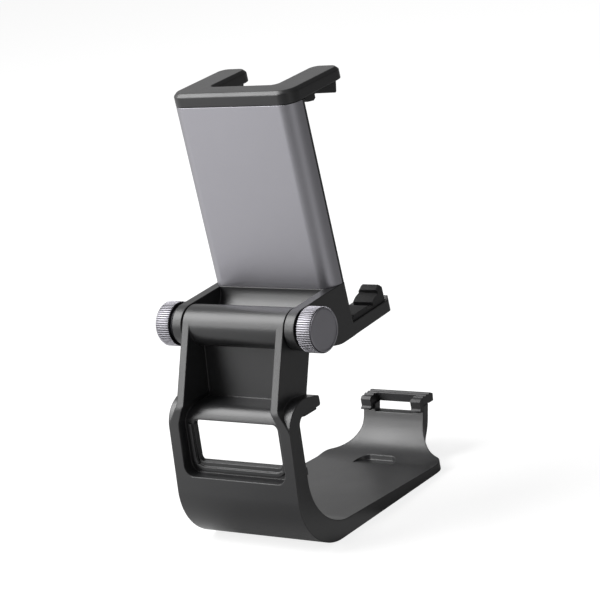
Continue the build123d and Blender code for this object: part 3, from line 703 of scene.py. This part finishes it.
def coil_spring(name, sizes):
    """Wind a spring with a loop at each end, in the place of its CAD node between the holder and the jaw."""
    low, high = corners(name)
    wire = sizes.spring_wire
    radius = (high.x - low.x - wire) / 2
    loop = radius * LOOP_RADIUS
    middle = (low + high) / 2
    length = (high.z - low.z) / HOLDER_UP.z
    # The two loops and the wire that they are bent from take the rest of the length
    coil = length - 4 * loop - 3 * wire
    turns = round(coil / (COIL_PITCH * wire))
    bpy.ops.object.select_all(action="DESELECT")
    bpy.ops.mesh.primitive_circle_add(
        vertices=WIRE_SIDES, radius=wire / 2, fill_type="NOTHING",
        location=(radius, 0, -coil / 2), rotation=(pi / 2, 0, 0),
    )
    spring = bpy.context.object
    spring.name = f"{name}_wound"
    place_in_mesh()
    apply_modifier(
        spring, "SCREW", axis="Z", angle=2 * pi, screw_offset=coil / turns, iterations=turns,
        steps=12, render_steps=12, use_merge_vertices=True,
    )
    parts = [spring]
    for end in (-1, 1):
        bpy.ops.mesh.primitive_torus_add(
            major_radius=loop, minor_radius=wire / 2, major_segments=24,
            minor_segments=WIRE_SIDES, location=(0, 0, end * (coil / 2 + loop)),
            rotation=(0, pi / 2, 0),
        )
        parts.append(bpy.context.object)
    alone(spring)
    for part in parts:
        part.select_set(True)
    bpy.ops.object.join()
    spring.location = middle
    spring.rotation_euler = (HOLDER_UP.angle(Vector((0, 0, 1))), 0, 0)
    place_in_mesh()
    edit(spring)
    bpy.ops.mesh.normals_make_consistent(inside=False)
    leave_edit()
    bpy.ops.object.shade_smooth()
    settle(spring, name, rides=False)
    half = HOLDER_UP * (coil / 2)
    middle - half
    middle + half
    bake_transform(spring)


# Studio

FLOOR_COLOUR = (0.35, 0.35, 0.35)
FLOOR_RADIUS = 6.0
# How much of the surroundings the floor gives back to metal
FLOOR_MIRROR = 0.6
# Surroundings that only reflections see: an even grey, a pale left and one card on the right
EVEN_GLOW = 0.2
LEFT_GLOW = 0.45
BACK_LEFT_GLOW = 0.35
CARD_GLOW = 0.6
CARD_WAY = (0.85, -0.52, 0)
LIGHTS_AIM = (0, -0.01, 0.05)


def surroundings(tree, place):
    """How bright the studio is in a level direction, for reflections alone."""
    level = tree.node(
        "ShaderNodeVectorMath", {"operation": "MULTIPLY"}, {0: place, 1: (1, 1, 0)}
    )[0]
    level = tree.node("ShaderNodeVectorMath", {"operation": "NORMALIZE"}, {0: level})[0]
    axes = tree.node("ShaderNodeSeparateXYZ", {}, {0: level})
    left = (axes["X"] * -1).ramp(0.25, 0.65)
    behind = (axes["Y"] * -1).ramp(-0.4, 0.4)
    card = tree.node(
        "ShaderNodeVectorMath", {"operation": "DOT_PRODUCT"}, {0: level, 1: CARD_WAY}
    )["Value"].ramp(0.93, 0.99)
    return left * (behind * BACK_LEFT_GLOW + LEFT_GLOW) + card * CARD_GLOW + EVEN_GLOW


def add_floor(brightness):
    """A pale floor that looks white, and keeps the object's shadow."""
    bpy.ops.object.select_all(action="DESELECT")
    bpy.ops.mesh.primitive_circle_add(vertices=96, radius=FLOOR_RADIUS, fill_type="NGON")
    floor = bpy.context.object
    floor.name = "floor"
    finish = Finish("floor_white", FLOOR_COLOUR, 0.9, **{
        "Emission Color": (1, 1, 1, 1), "Specular IOR Level": 0.0,
    })
    path = finish.node("ShaderNodeLightPath")
    mirrored = finish.mirrored_rays(path)
    glow = surroundings(finish, finish.place)
    finish.feed(
        "Emission Strength", path["Is Camera Ray"] * brightness + mirrored * glow * FLOOR_MIRROR
    )
    floor.data.materials.append(finish.material)


def add_world(scene, ambient):
    """White behind the object, and soft surroundings for its reflections."""
    world = bpy.data.worlds.new("studio")
    world.use_nodes = True
    scene.world = world
    tree = Tree(world.node_tree)
    path = tree.node("ShaderNodeLightPath")
    glow = surroundings(tree, tree.node("ShaderNodeTexCoord")["Generated"])
    seen = path["Is Camera Ray"]
    mirrored = tree.mirrored_rays(path)
    strength = seen + (1 - seen) * (mirrored * glow + (1 - mirrored) * ambient)
    background = tree.node("ShaderNodeBackground", {}, {
        "Color": (1, 1, 1, 1), "Strength": strength,
    })
    tree.node("ShaderNodeOutputWorld", {}, {"Surface": background["Background"]})


def add_light(name, place, size, power):
    """A rectangular soft light that faces the object."""
    bpy.ops.object.select_all(action="DESELECT")
    turn = (Vector(LIGHTS_AIM) - Vector(place)).to_track_quat("-Z", "Y").to_euler()
    bpy.ops.object.light_add(type="AREA", location=place, rotation=turn)
    light = bpy.context.object
    light.name = name
    light.data.shape = "RECTANGLE"
    light.data.size, light.data.size_y = size
    light.data.energy = power


def add_camera(scene, studio):
    """The photograph's view, as a place, a direction, a roll and a focal length."""
    turn = (
        Matrix.Rotation(studio.azimuth, 4, "Z")
        @ Matrix.Rotation(pi / 2 - studio.elevation, 4, "X")
        @ Matrix.Rotation(-studio.roll, 4, "Z")
    )
    bpy.ops.object.camera_add(location=studio.camera_place, rotation=turn.to_euler())
    camera = bpy.context.object
    camera.name = "camera"
    camera.data.sensor_width = 36.0
    camera.data.lens = studio.lens
    camera.data.dof.use_dof = False
    scene.camera = camera
    scene.view_settings.view_transform = "Standard"


# Operators: one for each piece or group of like pieces, and one for the stage


class CLIP_OT_finishes(bpy.types.Operator):
    """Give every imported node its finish"""

    bl_idname = "clip.finishes"
    bl_label = "Finishes"

    def execute(self, context):
        colours = context.scene.clip_finishes
        # Each slot's finish, colour and roughness
        recipes = {
            "cradle_plastic": (moulded_plastic, colours.plastic, 0.34),
            "holder_plastic": (moulded_plastic, colours.plastic, 0.36),
            "shell_aluminium": (blasted_aluminium, colours.shell, 0.42),
            "knob_aluminium": (turned_aluminium, colours.knob, 0.36),
            "grip_rubber": (soft_rubber, colours.rubber, 0.45),
            "pad_rubber": (soft_rubber, colours.rubber, 0.6),
            "steel": (bright_metal, (0.55, 0.55, 0.56), 0.35),
            "brass": (bright_metal, (0.62, 0.46, 0.18), 0.35),
            "friction_fibre": (pressed_fibre, (0.16, 0.12, 0.08), 0.8),
        }
        finishes = {
            slot: finish(slot, colour, roughness)
            for slot, (finish, colour, roughness) in recipes.items()
        }
        for name, slot in SLOTS.items():
            node = frame["nodes"][name]
            node.data.materials.clear()
            node.data.materials.append(finishes[slot])
        # The screws' heads and the washers beside the knobs are blackened
        blackened = bright_metal("blackened_steel", (0.05, 0.05, 0.052), 0.4)
        for name in ("cover_screws", "left_pressure_washer", "right_pressure_washer"):
            frame["nodes"][name].data.materials[0] = blackened
        return {"FINISHED"}


class CLIP_OT_mouldings(bpy.types.Operator):
    """Round the edges of the black mouldings"""

    bl_idname = "clip.mouldings"
    bl_label = "Mouldings"

    def execute(self, context):
        edges = context.scene.clip_edges

        def shape_cradle():
            widen_window(edges.window_side)
            thicken_arm(edges.arm_wall)

        round_edges("cradle_bracket", edges.moulding, clamp=True, shape=shape_cradle)
        round_edges(
            "holder_foot", edges.foot, clamp=True,
            shape=lambda: lengthen_prongs(edges.prong_tip),
        )
        round_edges("top_jaw", edges.moulding, segments=3, sharpest=20)
        round_edges("front_cover", edges.cover)
        return {"FINISHED"}


class CLIP_OT_shell(bpy.types.Operator):
    """Break the sharp edges of the aluminium shell"""

    bl_idname = "clip.shell"
    bl_label = "Shell"

    def execute(self, context):
        round_edges("aluminium_shell", context.scene.clip_edges.shell)
        return {"FINISHED"}


class CLIP_OT_pads(bpy.types.Operator):
    """Round the edges of the soft pads and the cap"""

    bl_idname = "clip.pads"
    bl_label = "Pads"

    def execute(self, context):
        edges = context.scene.clip_edges
        for name in ("front_grip_cap", "back_pad", "lip_pad", "phone_pad"):
            round_edges(name, edges.rubber, sharpest=25)
        for side in SIDES:
            round_edges(f"{side}_top_pad", edges.rubber, sharpest=25)
            round_edges(
                f"{side}_lower_pad", edges.rubber, sharpest=25, clamp=True,
                shape=lambda: dome_hook(edges.prong_tip, edges.hook_dome),
            )
        return {"FINISHED"}


class CLIP_OT_knobs(bpy.types.Operator):
    """Model the two knurled knobs"""

    bl_idname = "clip.knobs"
    bl_label = "Knobs"

    def execute(self, context):
        for side_name, side in SIDES.items():
            turned_knob(f"{side_name}_knob", side, context.scene.clip_hardware)
        return {"FINISHED"}


class CLIP_OT_springs(bpy.types.Operator):
    """Wind the two springs that close the top jaw"""

    bl_idname = "clip.springs"
    bl_label = "Springs"

    def execute(self, context):
        for side_name in SIDES:
            coil_spring(f"{side_name}_spring", context.scene.clip_hardware)
        return {"FINISHED"}


class CLIP_OT_stage(bpy.types.Operator):
    """Set up the floor, the lights, the world and the camera"""

    bl_idname = "clip.stage"
    bl_label = "Stage"

    def execute(self, context):
        scene = context.scene
        studio = scene.clip_studio
        add_floor(studio.floor)
        add_world(scene, studio.ambient)
        add_light(
            "key_light", place=(-0.49, -0.29, 0.61), size=(0.52, 0.52), power=studio.key_power
        )
        add_light(
            "side_light", place=(-0.50, -0.59, 0.28), size=(0.42, 0.28), power=studio.side_power
        )
        add_camera(scene, studio)
        return {"FINISHED"}


class CLIP_PT_panel(bpy.types.Panel):
    """Lists the clip's steps and values"""

    bl_idname = "CLIP_PT_panel"
    bl_label = "Phone Clip"
    bl_space_type = "VIEW_3D"
    bl_region_type = "UI"
    bl_category = "Phone Clip"

    def draw(self, context):
        for operator in OPERATORS:
            self.layout.operator(operator.bl_idname)
        for name, group in GROUPS.items():
            box = self.layout.box()
            for value in group.__annotations__:
                box.prop(getattr(context.scene, name), value)


OPERATORS = (
    CLIP_OT_finishes, CLIP_OT_mouldings, CLIP_OT_shell, CLIP_OT_pads, CLIP_OT_knobs,
    CLIP_OT_springs, CLIP_OT_stage,
)
GROUPS = {
    "clip_finishes": ClipFinishes, "clip_edges": ClipEdges, "clip_hardware": ClipHardware,
    "clip_studio": ClipStudio,
}
CLASSES = (*GROUPS.values(), *OPERATORS, CLIP_PT_panel)


def register():
    for cls in CLASSES:
        bpy.utils.register_class(cls)
    for name, group in GROUPS.items():
        setattr(bpy.types.Scene, name, bpy.props.PointerProperty(type=group))


def unregister():
    for name in GROUPS:
        delattr(bpy.types.Scene, name)
    for cls in reversed(CLASSES):
        bpy.utils.unregister_class(cls)


def main():
    register()
    bpy.ops.clip.finishes()
    bpy.ops.clip.mouldings()
    bpy.ops.clip.shell()
    bpy.ops.clip.pads()
    bpy.ops.clip.knobs()
    bpy.ops.clip.springs()
    bpy.ops.clip.stage()


if __name__ == "__main__":
    main()
